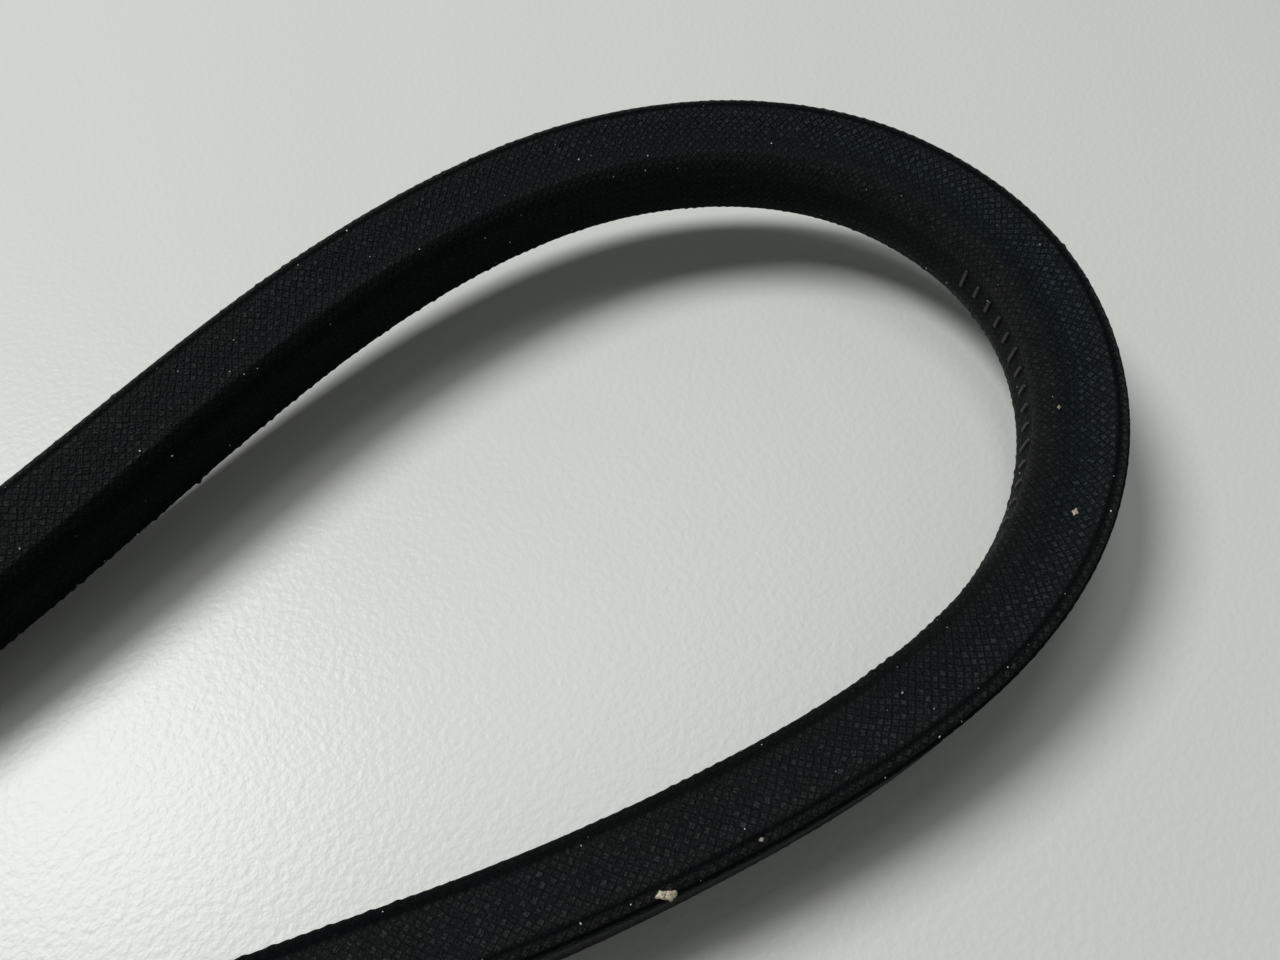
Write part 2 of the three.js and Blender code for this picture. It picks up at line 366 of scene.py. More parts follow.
straight[:, 1:] += outward_yz[column] * move[:, None]
write_points(cover, straight)
print("with teeth and dents, from", round(move.min() / MM, 2), "to", round(move.max() / MM, 2))

# %% [markdown]
# ## The cloth's own map
# The threads have to follow the belt, so the cloth is laid out flat before the belt is bent:
# U is the way along and V the way around, both in millimetres. The two edges of the map meet at
# the lap, where the real cloth ends too.

# %% Lay the cloth out flat
around = np.concatenate([[0], np.cumsum(np.linalg.norm(np.diff(section_yz, axis=0), axis=1))])
girth = around[-1] + np.linalg.norm(section_yz[0] - section_yz[-1])
mesh = cover.data
loop_vertex = np.empty(len(mesh.loops), int)
mesh.loops.foreach_get("vertex_index", loop_vertex)
loop_v = around[column[loop_vertex]].reshape(-1, 4)
loop_column = column[loop_vertex].reshape(-1, 4)
crosses_lap = (loop_column.max(1) - loop_column.min(1)) > 1
loop_v[crosses_lap[:, None] & (loop_column == 0)] = girth
cloth = mesh.uv_layers.new(name="cloth")
laid = np.stack([straight[loop_vertex, 0] / MM, loop_v.ravel() / MM], 1)
cloth.uv.foreach_set("vector", laid.astype(np.float32).ravel())
print("girth", round(girth / MM, 2), "mm")

# %% [markdown]
# ## How worn, where light and shade are painted, how smooth
# Five values are kept at every point. Worn places are rubbed to a dusty brown-grey: the outer
# corners everywhere, and the squeezed inner edge in the bends. On the outer half of the bends'
# flanks a highlight is painted: the crowns are brighter, and a blue tint is a painted reflection
# of bluish light. Below it, on the drawn-in flank, shade is painted: as blue, but the crowns stay
# dark. Painted shade also keeps a deep black in the creases, in the inner corners along the
# straight runs, and on the inner faces. The back is smooth, because a ground mould band presses
# on it. Vertex paint could put all this on by hand, but it follows the bends, so it is worked out
# instead.

# %% Keep the five values
WORN = {"outer corner": 0.55, "flank edge": 0.35, "back": 0.2}
WORN_IN_BENDS = 0.45
# Painted shade, by part of the section: creases, edge ridge, inner corners, inner faces
SHADED = {"crease": 1.0, "edge ridge": 0.9, "inner corner": 1.0, "inner face": 0.8}
LIT_IN_BENDS = {"inner corner": 1.0, "inner face": 0.45}
SMOOTH = {"back": 1.0, "edge ridge": 0.6, "inner face": 0.45}
# Where the painted highlight lies on the bends' flanks, above the inner face
HIGHLIGHT_HEIGHT, HIGHLIGHT_REACH = 5.0, 1.6    # above the inner face, in millimetres
# Where the painted shade lies on the bends' flanks, below the painted highlight
SUNKEN_SHADE_HEIGHT, SUNKEN_SHADE_REACH = 2.9, 1.2
SQUEEZED_BELOW, SQUEEZED_OVER = 2.1, 1.2
bend_share = np.clip(turn_at_station, 0, 1)[wrapped]
height_here = height_of_column[column]
squeezed = np.clip((SQUEEZED_BELOW - height_here) / SQUEEZED_OVER, 0, 1)


def by_part(table):
    """The table's value for the part of the section each vertex is on."""
    return np.array([table.get(name, 0.0) for name in part_of_column])[column]


surface_values = {
    "worn": np.clip(by_part(WORN) + WORN_IN_BENDS * bend_share * squeezed, 0, 1),
    # Painted highlight on the bends' flanks, and painted shade below it
    "painted_highlight": bend_share * hump(height_here, HIGHLIGHT_HEIGHT, HIGHLIGHT_REACH),
    "painted_sunken_shade": bend_share * hump(height_here, SUNKEN_SHADE_HEIGHT, SUNKEN_SHADE_REACH),
    "shaded": by_part(SHADED) * (1 - by_part(LIT_IN_BENDS) * bend_share),
    "smooth": by_part(SMOOTH),
}
for name, values in surface_values.items():
    kept = mesh.attributes.new(name, "FLOAT", "POINT")
    kept.data.foreach_set("value", values.astype(np.float32))
    print(name, "from", round(values.min(), 2), "to", round(values.max(), 2))

# %% Bend the ply and close its ends
SAME_PLACE = 0.0005 * MM


def close_ends(piece, places, columns):
    """Puts the last ring of a bent tube exactly on its first ring and merges the two."""
    points = read_points(piece)
    first = np.flatnonzero(places < NEAR)
    last = np.flatnonzero(places > route_length - NEAR)
    first, last = first[np.argsort(columns[first])], last[np.argsort(columns[last])]
    gap = np.linalg.norm(points[first] - points[last], axis=1).max()
    print("gap where the ends of", piece.name, "meet:", round(gap / MM, 4), "mm")
    points[last] = points[first]
    write_points(piece, points)
    choose(piece)
    bpy.ops.object.mode_set(mode="EDIT")
    bpy.ops.mesh.select_all(action="SELECT")
    bpy.ops.mesh.remove_doubles(threshold=SAME_PLACE)
    bpy.ops.mesh.normals_make_consistent(inside=False)
    bpy.ops.object.mode_set(mode="OBJECT")


bend_round_route(cover)
close_ends(cover, straight[:, 0], column)

# %% [markdown]
# ### The inside of the ply
# Cloth has a thickness, so the cover is a hollow tube. Nobody sees its inner wall, which needs
# no teeth. A second, much coarser tube stands for it, turned inside out, and the two are joined.

# %% Make the inner wall
WALL_BITES = 180
wall_columns = np.flatnonzero(np.isin(part_of_column, ("back", "flank", "inner face")))
wall_columns = wall_columns[wall_columns != 0]      # the lap's step is left out
wall_yz = section_yz[wall_columns] - outward_yz[wall_columns] * PLY_THICKNESS * MM
wall = straight_belt("cover_ply_inside", wall_yz, WALL_BITES, 1)
wall_straight = read_points(wall)
wall_column = ((wall_straight[:, None, 1:] - wall_yz[None]) ** 2).sum(2).argmin(1)
bend_round_route(wall)
close_ends(wall, wall_straight[:, 0], wall_column)
bpy.ops.object.mode_set(mode="EDIT")
bpy.ops.mesh.select_all(action="SELECT")
bpy.ops.mesh.flip_normals()
bpy.ops.object.mode_set(mode="OBJECT")

# %% Join the two, lift them and put them in the ply's place
choose(cover)
wall.select_set(True)
bpy.ops.object.join()
lift_near_end(cover)
bpy.ops.object.shade_smooth()
triangles = sum(len(face.vertices) - 2 for face in cover.data.polygons)
print("cover:", len(cover.data.vertices), "vertices,", triangles, "triangles")
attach(cover, "root")
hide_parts("outer_cover_ply")

# %% [markdown]
# ## Things on the cloth
# A belt that has been handled carries dust specks, stray fibres along its corners and a crumb or
# two, and on its inner face a row of moulded ticks. They are placed on the straight belt, where a
# place is just a distance along and a distance around, and then bent and lifted with the same two
# helpers. A particle system could scatter them, but it can't put a crumb at a chosen place.

# %% Places on the straight belt
flank_columns = [i for i in range(column_count)
                 if section_yz[i, 1] > 0 and part_of_column[i] in ("flank edge", "flank")]
luck = random.Random(41)


def between(table, ring_place):
    """What a table of the section's points holds at a place counted in section points."""
    first = int(ring_place) % column_count
    second = (first + 1) % column_count
    share = ring_place % 1
    return table[first] * (1 - share) + table[second] * share


def place_on_belt(along, ring_place):
    """Point and outward direction on the straight belt, at a place counted in section points."""
    yz = between(section_yz, ring_place)
    out = between(outward_yz, ring_place)
    bend_now = np.interp(along, track_places, turning) * TIGHT_RADIUS
    moved = (SWOLLEN * between(swell, ring_place)
             - DRAWN_IN * between(draw, ring_place)) * bend_now
    out = out / np.linalg.norm(out)
    yz = yz + out * moved
    return Vector((along, yz[0], yz[1])), Vector((0, out[0], out[1]))


def ring_place_down_flank(down):
    """Where a distance down the upper flank falls, counted in section points.

    Less than nothing is a place on the outer corner, that many section points back from the flank.
    """
    if down < 0:
        return flank_columns[0] + down
    target = (TOP_WIDTH / 2 - down * math.sin(FLANK_ANGLE)) * MM
    across = [section_yz[i, 1] for i in flank_columns]
    return float(np.interp(-target, [-a for a in across], flank_columns))


# %% Helpers for pieces made of many copies, and for finishing small pieces
def take_shape():
    """The points and faces of the primitive just made, which is then removed."""
    primitive = bpy.context.object
    points = read_points(primitive)
    faces = [tuple(face.vertices) for face in primitive.data.polygons]
    bpy.data.objects.remove(primitive)
    return points, faces


def piece_of_copies(name, copies, faces):
    """One piece from many copies of a shape. Each copy is a list of its points."""
    points = [point for copy in copies for point in copy]
    starts = range(0, len(points), len(copies[0]))
    all_faces = [tuple(start + i for i in face) for start in starts for face in faces]
    piece = bpy.data.objects.new(name, bpy.data.meshes.new(name))
    piece.data.from_pydata(points, [], all_faces)
    bpy.context.scene.collection.objects.link(piece)
    return piece


def finish_small_piece(piece):
    """Bends and lifts a small piece and lets it ride on the belt."""
    bend_round_route(piece)
    lift_near_end(piece)
    choose(piece)
    bpy.ops.object.shade_smooth()
    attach(piece, "root")
    print(piece.name + ":", len(piece.data.polygons), "faces")


# %% Dust specks
SPECK_COUNT = 850
SPECK_SIZES = (0.045, 0.055, 0.07, 0.085, 0.12)     # radius in millimetres, before flattening
ALL_ROUND = 6.28       # very nearly a full turn
bpy.ops.object.select_all(action="DESELECT")
bpy.ops.mesh.primitive_ico_sphere_add(subdivisions=1, radius=1)
speck_points, speck_faces = take_shape()
specks = []
for _ in range(SPECK_COUNT):
    spot, out = place_on_belt(luck.uniform(0, route_length), luck.uniform(0, column_count))
    size = luck.choice(SPECK_SIZES) * MM
    flat = Matrix.Diagonal((1, luck.uniform(0.5, 1), luck.uniform(0.35, 0.7)))
    spin = Matrix.Rotation(luck.uniform(0, ALL_ROUND), 3, "Z")
    turn = out.to_track_quat("Z", "X").to_matrix() @ spin
    specks.append([spot + out * size * 0.5 + turn @ flat @ Vector(point) * size
                   for point in speck_points])
dust = piece_of_copies("dust_specks", specks, speck_faces)
finish_small_piece(dust)

# %% [markdown]
# ### Crumbs
# A crumb is a ball with lumps and hollows, a little longer than it is wide. A Displace modifier
# could give it those, but two waves crossing do it in one line. The largest two lie close
# together on the outer corner.

# %% Crumbs caught on the cloth
# Each is how far along it lies, how far down the flank, and its radius, in millimetres. Where the
# second is below nothing, the crumb is on the outer corner, that many section points back.
CRUMBS = ((198.9, -3.4, 0.40), (199.5, -2.6, 0.32), (148.8, 3.7, 0.27), (136.8, 6.6, 0.17),
          (190.8, -2.0, 0.16))
RESTS_AT = 0.45        # of its radius above the cloth
LONGER = 1.35          # along the belt
crumbs = []
for along, down, size in CRUMBS:
    spot, out = place_on_belt(along * MM, ring_place_down_flank(down))
    bpy.ops.object.select_all(action="DESELECT")
    bpy.ops.mesh.primitive_ico_sphere_add(
        subdivisions=3, radius=size * MM, location=spot + out * size * RESTS_AT * MM
    )
    crumb = bpy.context.object
    for vertex in crumb.data.vertices:
        lump = 0.72 + 0.5 * abs(math.sin(vertex.co.x / size * 3300 + along)
                                * math.cos(vertex.co.y / size * 2600 + vertex.co.z * 3000))
        vertex.co *= lump
        vertex.co.x *= LONGER
    bpy.ops.object.transform_apply(location=True, rotation=False, scale=False)
    crumbs.append(crumb)
bpy.ops.object.select_all(action="DESELECT")
for crumb in crumbs:
    crumb.select_set(True)
bpy.context.view_layer.objects.active = crumbs[0]
bpy.ops.object.join()
crumbs = bpy.context.object
crumbs.name = crumbs.data.name = "caught_crumbs"
finish_small_piece(crumbs)

# %% [markdown]
# ### Raised ticks
# The mould leaves a short row of raised marks on the inner face. Here they are plain ticks, with
# a longer one every fifth, as on a ruler. One block is modelled and bevelled, and its copies are
# set in a row, because an Array modifier can't make every fifth copy longer.

# %% Raised ticks on the inner face
TICK_COUNT, TICK_PITCH, TICKS_FROM = 15, 2.6 * MM, 113.5 * MM
TICK_ACROSS = 0.3 * MM                 # how far the row lies from the middle of the face
TICK_THICKNESS = 0.5
TICK_LENGTH, LONG_TICK_LENGTH, LONG_EVERY = 1.7, 2.5, 5
bpy.ops.object.select_all(action="DESELECT")
bpy.ops.mesh.primitive_cube_add(size=1)
bpy.ops.object.mode_set(mode="EDIT")
bpy.ops.mesh.select_all(action="SELECT")
bpy.ops.mesh.bevel(offset=0.12, segments=2, affect="EDGES")
bpy.ops.object.mode_set(mode="OBJECT")
tick_points, tick_faces = take_shape()
inner_columns = [i for i in range(column_count) if part_of_column[i] == "inner face"]
row_place = float(np.interp(
    -TICK_ACROSS, [-section_yz[i, 1] for i in inner_columns], inner_columns))
tick_copies = []
for number in range(TICK_COUNT):
    spot, out = place_on_belt(TICKS_FROM + number * TICK_PITCH, row_place)
    length = LONG_TICK_LENGTH if number % LONG_EVERY == 0 else TICK_LENGTH
    tick_copies.append([
        spot + out * point[2] * TICK_THICKNESS * MM
        + Vector((point[0] * TICK_THICKNESS, 0, point[1] * length)) * MM
        for point in tick_points
    ])
ticks = piece_of_copies("moulded_ticks", tick_copies, tick_faces)
finish_small_piece(ticks)

# %% [markdown]
# ### Stray fibres
# Where the cloth is rubbed, single fibres come loose and stand up a little. Hair strands could
# make them, but hair is not a mesh. Short poly curves with a bevel are one, once converted.

# %% Stray fibres on the corners
FIBRE_COUNT = 420
FIBRE_RADIUS = 0.014 * MM
FIBRE_LENGTHS = (0.12, 0.42)           # shortest and longest, in millimetres
RISE, DROOP = 0.55, 0.35               # of a fibre's length
ROOT_DEPTH = 0.02 * MM
corner_columns = [i for i in range(column_count)
                  if part_of_column[i] in ("outer corner", "inner corner", "edge ridge")]
fibre_curve = bpy.data.curves.new("stray_fibres", "CURVE")
fibre_curve.dimensions = "3D"
fibre_curve.bevel_depth = FIBRE_RADIUS
fibre_curve.bevel_resolution = 0
fibre_curve.use_fill_caps = True
for _ in range(FIBRE_COUNT):
    spot, out = place_on_belt(luck.uniform(0, route_length), luck.choice(corner_columns))
    way = Vector((luck.uniform(-1, 1), luck.uniform(-0.5, 0.5), luck.uniform(-0.5, 0.5)))
    reach = luck.uniform(*FIBRE_LENGTHS) * MM
    fibre = fibre_curve.splines.new("POLY")
    fibre.points.add(3)
    for step, point in enumerate(fibre.points):
        share = step / 3
        lie = spot + way * reach * share + out * reach * (RISE * share - DROOP * share ** 3)
        point.co = (*(lie - out * ROOT_DEPTH * (step == 0)), 1)
fibres = bpy.data.objects.new("stray_fibres", fibre_curve)
bpy.context.scene.collection.objects.link(fibres)
choose(fibres)
bpy.ops.object.convert(target="MESH")
fibres = bpy.context.object
finish_small_piece(fibres)

bpy.data.objects.remove(route)

# %% [markdown]
# ## Finishes
# Each finish is a Principled shader fed by small node groups. The groups say what a surface is
# like from place to place: where a thread crowns, where the rubber is uneven, where it is worn.
# The material then decides how black, how rough and how brown that makes it.


# %% Helpers for wiring nodes
def feed(tree, socket, value):
    """Links a socket to another socket, or sets it to a number or colour."""
    if isinstance(value, bpy.types.NodeSocket):
        tree.links.new(value, socket)
    else:
        socket.default_value = value


def reckon(tree, operation, *values, clamp=False):
    """A Math node on numbers or sockets."""
    node = tree.nodes.new("ShaderNodeMath")
    node.operation = operation
    node.use_clamp = clamp
    for socket, value in zip(node.inputs, values):
        feed(tree, socket, value)
    return node.outputs[0]


def times(tree, *values):
    """Math nodes that multiply all these together."""
    result = values[0]
    for value in values[1:]:
        result = reckon(tree, "MULTIPLY", result, value)
    return result


def less(tree, value, share):
    """One where the value is nothing, and one less this share where the value is one."""
    return reckon(tree, "SUBTRACT", 1.0, times(tree, value, share))


# %% Helpers for colours and patterns
def blend_colours(tree, share, first, second):
    """A Mix node between two colours."""
    node = tree.nodes.new("ShaderNodeMix")
    node.data_type = "RGBA"
    feed(tree, node.inputs[0], share)
    feed(tree, node.inputs[6], first)
    feed(tree, node.inputs[7], second)
    return node.outputs[2]


def spread(tree, value, low, high, to_low=0.0, to_high=1.0):
    """A Map Range node with a smooth step."""
    node = tree.nodes.new("ShaderNodeMapRange")
    node.interpolation_type = "SMOOTHSTEP"
    for socket, number in zip(node.inputs, (value, low, high, to_low, to_high)):
        feed(tree, socket, number)
    return node.outputs[0]


def cloud(tree, place, scale, detail=2.0, rough=0.5):
    """A Noise texture's value, with its scale in waves per metre."""
    node = tree.nodes.new("ShaderNodeTexNoise")
    feed(tree, node.inputs["Vector"], place)
    feed(tree, node.inputs["Scale"], scale)
    feed(tree, node.inputs["Detail"], detail)
    feed(tree, node.inputs["Roughness"], rough)
    return node.outputs["Fac"]


# %% Helpers for groups
def new_group(name, inputs, outputs):
    """A shader group with named sockets. Gives back its tree, its inputs and its exit."""
    tree = bpy.data.node_groups.new(name, "ShaderNodeTree")
    for label, kind, default in inputs:
        socket = tree.interface.new_socket(label, in_out="INPUT", socket_type=kind)
        if default is not None:
            socket.default_value = default
    for label, kind in outputs:
        tree.interface.new_socket(label, in_out="OUTPUT", socket_type=kind)
    entry = tree.nodes.new("NodeGroupInput")
    leave = tree.nodes.new("NodeGroupOutput")
    return tree, entry.outputs, leave.inputs


def use_group(tree, group, **values):
    """Places a group in a material and sets its inputs by name, with _ for a space."""
    node = tree.nodes.new("ShaderNodeGroup")
    node.node_tree = group
    for label, value in values.items():
        feed(tree, node.inputs[label.replace("_", " ")], value)
    return node.outputs


# %% Helpers for finishes
def new_finish(name):
    """A material with a Principled shader: the material, its tree, its shader and its places."""
    material = bpy.data.materials.new(name)
    material.use_nodes = True
    tree = material.node_tree
    place = tree.nodes.new("ShaderNodeTexCoord").outputs["Object"]
    return material, tree, tree.nodes["Principled BSDF"], place


def add_relief(tree, shader, height, depth, strength=1.0):
    """A Bump node that gives the surface this relief."""
    bump = tree.nodes.new("ShaderNodeBump")
    feed(tree, bump.inputs["Height"], height)
    bump.inputs["Strength"].default_value = strength
    bump.inputs["Distance"].default_value = depth
    tree.links.new(bump.outputs[0], shader.inputs["Normal"])


# %% [markdown]
# ### Threads
# Cover cloth is a plain weave laid on the bias, so its threads run at 45 degrees to the belt. A
# picture of cloth would do from far away. A pattern that knows each crossing can also say which
# thread is on top, so its crowns get a bright back and its gaps stay dark. Every thread is plied
# from two yarns, which breaks each crown into smaller points.

# %% Threads group: count the threads
FLOAT, VECTOR = "NodeSocketFloat", "NodeSocketVector"
THREADS_ALONG = 798 / 719     # per millimetre: an even number in the loop, so the weave meets
THREADS_AROUND = 1.11         # per millimetre of girth
threads, given, gives = new_group(
    "crossing threads",
    [("Cloth", VECTOR, None), ("Along", FLOAT, THREADS_ALONG), ("Around", FLOAT, THREADS_AROUND),
     ("Waver", FLOAT, 0.0), ("Weft Height", FLOAT, 0.72), ("Yarns", FLOAT, 0.58)],
    [("Height", FLOAT), ("Crown", FLOAT), ("Crossing", FLOAT)],
)
apart = threads.nodes.new("ShaderNodeSeparateXYZ")
threads.links.new(given["Cloth"], apart.inputs[0])
along = times(threads, apart.outputs[0], given["Along"])
round_belt = reckon(threads, "MULTIPLY_ADD", apart.outputs[1], given["Around"], given["Waver"])
warp_count = reckon(threads, "ADD", along, round_belt)
weft_count = reckon(threads, "SUBTRACT", along, round_belt)


# %% Threads group: which thread is on top, and how high it stands
def thread_wave(count, turn):
    """A wave that goes through this turn for every thread."""
    return reckon(threads, "SINE", times(threads, count, turn))


def raised(warp_power, weft_power):
    """A height that falls off toward the gaps beside the warp and beside the weft."""
    return times(threads, reckon(threads, "POWER", warp_side, warp_power),
                 reckon(threads, "POWER", weft_side, weft_power))


warp_wave, weft_wave = thread_wave(warp_count, math.pi), thread_wave(weft_count, math.pi)
warp_on_top = spread(threads, times(threads, warp_wave, weft_wave), -0.06, 0.06)
warp_side = reckon(threads, "ABSOLUTE", warp_wave)
weft_side = reckon(threads, "ABSOLUTE", weft_wave)
warp_height = times(threads, raised(1.1, 0.5), warp_on_top)
weft_height = times(threads, raised(0.6, 1.0), given["Weft Height"],
                    reckon(threads, "SUBTRACT", 1.0, warp_on_top))
height = reckon(threads, "ADD", warp_height, weft_height)

# %% Threads group: yarns, crowns and a chance value for each crossing
yarns = times(threads, thread_wave(warp_count, 2 * math.pi), thread_wave(weft_count, 2 * math.pi))
yarns = times(threads, reckon(threads, "ABSOLUTE", yarns), given["Yarns"])
flat_share = reckon(threads, "SUBTRACT", 1.0, given["Yarns"])
height = times(threads, height, reckon(threads, "ADD", flat_share, yarns))
threads.links.new(height, gives["Height"])
threads.links.new(spread(threads, height, 0.18, 0.80), gives["Crown"])
crossing = threads.nodes.new("ShaderNodeCombineXYZ")
feed(threads, crossing.inputs[0], reckon(threads, "FLOOR", warp_count))
feed(threads, crossing.inputs[1], reckon(threads, "FLOOR", weft_count))
chance = threads.nodes.new("ShaderNodeTexWhiteNoise")
feed(threads, chance.inputs["Vector"], crossing.outputs[0])
threads.links.new(chance.outputs["Value"], gives["Crossing"])
print(threads.name + ":", len(threads.nodes), "nodes")

# %% [markdown]
# ### Uneven rubber
# Rubber that was cured against cloth is uneven at three scales: patches some millimetres across,
# where its colour shifts, a mottle of about a millimetre, where it stands out and is rubbed, and
# a grain finer than the threads. One Noise texture with more detail would tie the three
# together, so each scale has its own.

# %% Uneven rubber group
MOTTLE_FINER = 7.0     # than the patches
uneven, given, gives = new_group(
    "uneven rubber",
    [("Place", VECTOR, None), ("Patch Size", FLOAT, 130.0), ("Grain Size", FLOAT, 3600.0)],
    [("Patch", FLOAT), ("Grain", FLOAT), ("Mottle", FLOAT)],
)
patch = cloud(uneven, given["Place"], given["Patch Size"], 3.0, 0.55)
uneven.links.new(spread(uneven, patch, 0.36, 0.64), gives["Patch"])
uneven.links.new(cloud(uneven, given["Place"], given["Grain Size"], 2.0, 0.6), gives["Grain"])
mottle_size = times(uneven, given["Patch Size"], MOTTLE_FINER)
mottle = cloud(uneven, given["Place"], mottle_size, 3.0, 0.6)
uneven.links.new(spread(uneven, mottle, 0.3, 0.7), gives["Mottle"])
print(uneven.name + ":", len(uneven.nodes), "nodes")

# %% [markdown]
# ### Cover cloth
# The cover is nearly black. Its crowns are rubbed to a dull charcoal, and its corners, where it
# has run against things, are a dusty brown-grey. The threads wander a little, as pulled cloth
# does, so two noises push them aside before they are counted.

# %% Cover cloth: what it reads
cover_cloth, tree, shader, place = new_finish("cover cloth")
cloth_map = tree.nodes.new("ShaderNodeUVMap")
cloth_map.uv_map = "cloth"


def kept_value(tree, name):
    """Reads a value that the mesh keeps at every point."""
    node = tree.nodes.new("ShaderNodeAttribute")
    node.attribute_name = name
    return node.outputs["Fac"]


worn_here = kept_value(tree, "worn")
shaded_here = kept_value(tree, "shaded")
# Painted highlight on the outer half of the bends' flanks
painted_highlight_here = kept_value(tree, "painted_highlight")
# Painted shade on the drawn-in flank of the bends
sunken_shade_here = kept_value(tree, "painted_sunken_shade")
smooth_here = kept_value(tree, "smooth")
rubber_look = use_group(tree, uneven, Place=place)
slow_waver = reckon(tree, "MULTIPLY_ADD", cloud(tree, place, 170.0, 1.0), 1.3, -0.65)
quick_waver = reckon(tree, "MULTIPLY_ADD", cloud(tree, place, 1500.0, 1.0), 0.44, -0.22)
waver = reckon(tree, "ADD", slow_waver, quick_waver)
weave = use_group(tree, threads, Cloth=cloth_map.outputs[0], Waver=waver)

# %% Cover cloth: how black each gap and how grey each crown
GAP, CROWN = (0.0046, 0.0047, 0.0043, 1), (0.0340, 0.0335, 0.0305, 1)
# Blue pair: the patches' own random bluish tone, and a painted reflection of bluish light on the
# bends' flanks
BLUE_GAP, BLUE_CROWN = (0.0022, 0.0036, 0.0052, 1), (0.0240, 0.0325, 0.0400, 1)
blue_tone_and_reflection = reckon(tree, "ADD", painted_highlight_here, sunken_shade_here)
blue_tone_and_reflection = reckon(tree, "MULTIPLY_ADD", rubber_look["Patch"], 0.15, blue_tone_and_reflection, clamp=True)
gap_black = blend_colours(tree, blue_tone_and_reflection, GAP, BLUE_GAP)
crown_grey = blend_colours(tree, blue_tone_and_reflection, CROWN, BLUE_CROWN)
# Painted highlight brightens the crowns on the bends' outer flanks; painted shade darkens them
# below
lit_by_bends = reckon(tree, "SUBTRACT", reckon(tree, "MULTIPLY_ADD", painted_highlight_here, 1.3, 1.0),
                      times(tree, sunken_shade_here, 0.8))
crown_share = times(
    tree, weave["Crown"],
    spread(tree, rubber_look["Mottle"], 0.0, 1.0, 0.5, 1.0),
    spread(tree, rubber_look["Grain"], 0.36, 0.66, 0.1, 1.9),
    lit_by_bends,
    spread(tree, weave["Crossing"], 0.0, 1.0, 0.45, 1.35),
    less(tree, shaded_here, 0.85),
)
colour = blend_colours(tree, crown_share, gap_black, crown_grey)

# %% Cover cloth: pressed smooth, rubbed brown, shaded black
PRESSED = (0.0075, 0.0080, 0.0078, 1)
DUSTY_BROWN = (0.0200, 0.0180, 0.0145, 1)
PAINTED_SHADE_BLACK = (0.0006, 0.0009, 0.0008, 1)
colour = blend_colours(tree, times(tree, smooth_here, 0.5), colour, PRESSED)
standing_out = reckon(tree, "ADD", rubber_look["Mottle"], weave["Height"])
rub = times(tree, worn_here, spread(tree, standing_out, 0.45, 1.6, 0.0, 0.75))
colour = blend_colours(tree, rub, colour, DUSTY_BROWN)
# Painted shade: a deep black in the creases, inner corners and inner faces, less where the bends
# are lit
colour = blend_colours(tree, times(tree, shaded_here, 0.95), colour, PAINTED_SHADE_BLACK)
tree.links.new(colour, shader.inputs["Base Color"])

# %% Cover cloth: gloss
roughness = reckon(tree, "MULTIPLY_ADD", weave["Crown"], -0.20, 0.30)
roughness = reckon(tree, "MULTIPLY_ADD", rubber_look["Grain"], 0.5, roughness)
roughness = reckon(tree, "ADD", roughness, times(tree, weave["Crossing"], 0.15))
roughness = reckon(tree, "ADD", roughness, times(tree, shaded_here, 0.4))
tree.links.new(roughness, shader.inputs["Roughness"])
shader.inputs["Specular IOR Level"].default_value = 0.12
shader.inputs["Specular Tint"].default_value = (0.72, 0.91, 1.0, 1)

# %% Cover cloth: relief
THREAD_DEPTH = 0.12 * MM
relief = times(tree, weave["Height"], less(tree, smooth_here, 0.75))
relief = reckon(tree, "ADD", relief, times(tree, rubber_look["Grain"], 2.4))
relief = reckon(tree, "ADD", relief, times(tree, rubber_look["Mottle"], 0.7))
add_relief(tree, shader, relief, THREAD_DEPTH)
cover.data.materials.append(cover_cloth)
print(cover_cloth.name + ":", len(tree.nodes), "nodes")

# %% [markdown]
# ### Dust, crumbs, ticks and fibres
# Dust is pale and dry. The crumbs are cream-coloured, with darker patches. The ticks are bare
# rubber, blacker than the cloth. The fibres are cover cloth that has come loose, faded to
# grey-brown. All four are dull and wander between two colours, so one function makes them.


# %% Small finishes
def dry_finish(name, dark, light, patch_size, roughness):
    """A dull finish that wanders between two colours."""
    material, tree, shader, place = new_finish(name)
    look = use_group(tree, uneven, Place=place, Patch_Size=patch_size)
    tree.links.new(blend_colours(tree, look["Patch"], dark, light), shader.inputs["Base Color"])
    tree.links.new(reckon(tree, "MULTIPLY_ADD", look["Grain"], 0.2, roughness),
                   shader.inputs["Roughness"])
    add_relief(tree, shader, look["Grain"], 0.05 * MM, 0.6)
    return material


for piece, name, dark, light, patch_size, roughness in (
    (dust, "dust", (0.25, 0.26, 0.27, 1), (0.75, 0.77, 0.80, 1), 900.0, 0.6),
    (ticks, "bare rubber of the ticks",
     (0.004, 0.0043, 0.0042, 1), (0.011, 0.0115, 0.011, 1), 1800.0, 0.5),
    (crumbs, "crumb", (0.30, 0.24, 0.17, 1), (0.66, 0.58, 0.46, 1), 1500.0, 0.6),
    (fibres, "loose fibre", (0.012, 0.011, 0.010, 1), (0.05, 0.046, 0.04, 1), 600.0, 0.7),
):
    piece.data.materials.append(dry_finish(name, dark, light, patch_size, roughness))
    print(piece.name, "has the finish", name)

# %% [markdown]
# ### The layers inside
# Nobody sees the layers while the belt is whole, but a worn belt shows them, and each has a
# finish of its own. They stay the CAD model's own solids: their shape is right as it is.

# %% Rubber of the layers inside
base_rubber = dry_finish(
    "base rubber", (0.012, 0.012, 0.013, 1), (0.028, 0.027, 0.027, 1), 220.0, 0.6)
gum_rubber = dry_finish(
    "adhesion gum", (0.020, 0.016, 0.013, 1), (0.042, 0.034, 0.028, 1), 320.0, 0.45)

